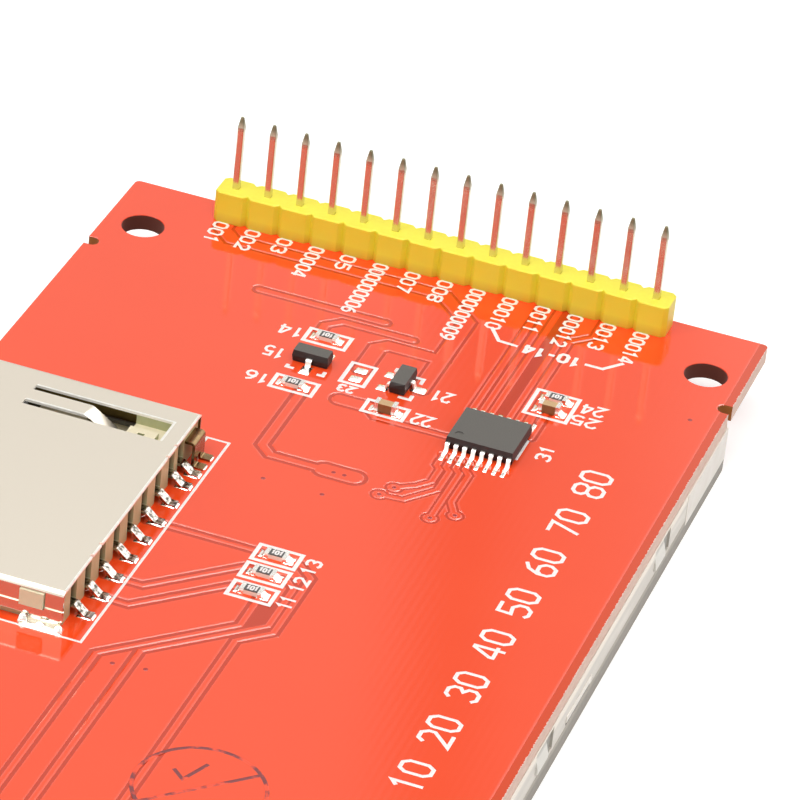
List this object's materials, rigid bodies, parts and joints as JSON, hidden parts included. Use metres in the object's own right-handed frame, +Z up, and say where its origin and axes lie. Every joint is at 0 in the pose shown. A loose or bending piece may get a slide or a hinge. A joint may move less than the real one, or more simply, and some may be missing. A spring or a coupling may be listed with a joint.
{
  "type": "tft display module",
  "caption": "Flat colour display module: a touch display taped under a red circuit board, with a pin header, a memory-card socket and small chips on the board's back.",
  "frame": {"origin": "under the centre of the circuit board's outline, on the display's front face", "axes": "+X across the board away from the card slot, +Y along it towards the pin header, +Z up out of the board's component side"},
  "size_m": [0.0502, 0.086, 0.0137],
  "materials": {
    "board_laminate": "glass-fibre laminate under a glossy red solder mask",
    "header_nylon": "moulded yellow nylon",
    "tinned_brass": "bright tin plate",
    "solder": "bright reflowed solder",
    "cover_steel": "satin nickel-plated steel sheet",
    "socket_polymer": "tan moulded high-temperature plastic",
    "contact_bronze": "dull plated bronze",
    "chip_epoxy": "moulded black epoxy",
    "resistor_ceramic": "dark glaze on ceramic",
    "capacitor_ceramic": "tan fired ceramic",
    "foam": "black adhesive foam",
    "tray_steel": "bright rolled steel sheet",
    "frame_plastic": "white moulded polycarbonate",
    "white_film": "matt white film",
    "clear_plastic": "clear acrylic",
    "led_plastic": "white LED package with yellow phosphor",
    "polariser_film": "dark grey polarising film",
    "display_glass": "thin ground-edge glass",
    "touch_polyester": "clear hard-coated polyester film",
    "chip_silicon": "polished silicon",
    "polyimide": "amber polyimide film"
  },
  "bodies": {
    "root": {"adhesive_foam": "foam", "array_glass": "display_glass", "backlight_frame": "frame_plastic", "backlight_leds": "led_plastic", "backlight_tray": "tray_steel", "capacitor_1": "capacitor_ceramic", "capacitor_2": "capacitor_ceramic", "chip_caps": "solder", "circuit_board": "board_laminate", "detect_contact": "contact_bronze", "diffuser_film": "white_film", "display_flex": "polyimide", "driver_chip": "chip_silicon", "filter_glass": "display_glass", "front_polariser": "polariser_film", "header_housing": "header_nylon", "header_pin_01": "tinned_brass", "header_pin_02": "tinned_brass", "header_pin_03": "tinned_brass", "header_pin_04": "tinned_brass", "header_pin_05": "tinned_brass", "header_pin_06": "tinned_brass", "header_pin_07": "tinned_brass", "header_pin_08": "tinned_brass", "header_pin_09": "tinned_brass", "header_pin_10": "tinned_brass", "header_pin_11": "tinned_brass", "header_pin_12": "tinned_brass", "header_pin_13": "tinned_brass", "header_pin_14": "tinned_brass", "header_solder": "solder", "led_strip": "polyimide", "light_guide": "clear_plastic", "prism_film": "clear_plastic", "rear_polariser": "polariser_film", "reflector_film": "white_film", "regulator": "chip_epoxy", "regulator_leads": "tinned_brass", "resistor_1": "resistor_ceramic", "resistor_2": "resistor_ceramic", "resistor_3": "resistor_ceramic", "resistor_4": "resistor_ceramic", "resistor_5": "resistor_ceramic", "resistor_6": "resistor_ceramic", "socket_body": "socket_polymer", "socket_contacts": "tinned_brass", "socket_cover": "cover_steel", "touch_chip": "chip_epoxy", "touch_chip_leads": "tinned_brass", "touch_film": "touch_polyester", "touch_gasket": "foam", "touch_glass": "display_glass", "touch_spacer": "foam", "touch_tail": "polyimide", "transistor": "chip_epoxy", "transistor_leads": "tinned_brass"}
  },
  "joints": []
}
